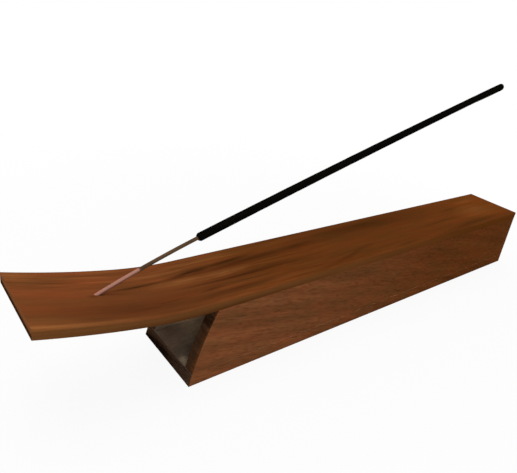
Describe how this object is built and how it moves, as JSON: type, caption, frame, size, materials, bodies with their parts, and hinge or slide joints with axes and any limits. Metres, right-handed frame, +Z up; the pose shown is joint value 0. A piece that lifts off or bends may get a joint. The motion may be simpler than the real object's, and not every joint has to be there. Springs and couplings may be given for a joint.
{
  "type": "incense stick holder",
  "caption": "Long hollow wooden stand whose top plank sweeps up as a tongue, with an incense stick leaning back from a slanted hole in it.",
  "frame": {"origin": "on the floor, in the middle of the overall length and width", "axes": "+X along the length towards the square rear end, the tongue points to -X, +Y to the far side of the picture, +Z up"},
  "size_m": [0.288, 0.0346, 0.1092],
  "materials": {
    "plank_wood": "oiled hardwood, warm brown with darker streaks along the grain",
    "side_wood": "oiled open-pored hardwood, fine dark pore flecks, near black end grain at the front cut",
    "bamboo": "plain split bamboo, the lower end dyed dull pink",
    "incense_paste": "dry matt charcoal incense, fine grained"
  },
  "bodies": {
    "holder": {"top_plank": "plank_wood", "near_wall": "side_wood", "far_wall": "side_wood", "floor_board": "side_wood", "rear_end_board": "side_wood"},
    "incense_stick": {"bamboo_core": "bamboo", "incense_coating": "incense_paste"}
  },
  "joints": [
    {"name": "stick_lift", "type": "slide", "parent": "holder", "child": "incense_stick", "axis": [0.9164, 0, 0.4003], "range_m": [0, 0.06]}
  ]
}
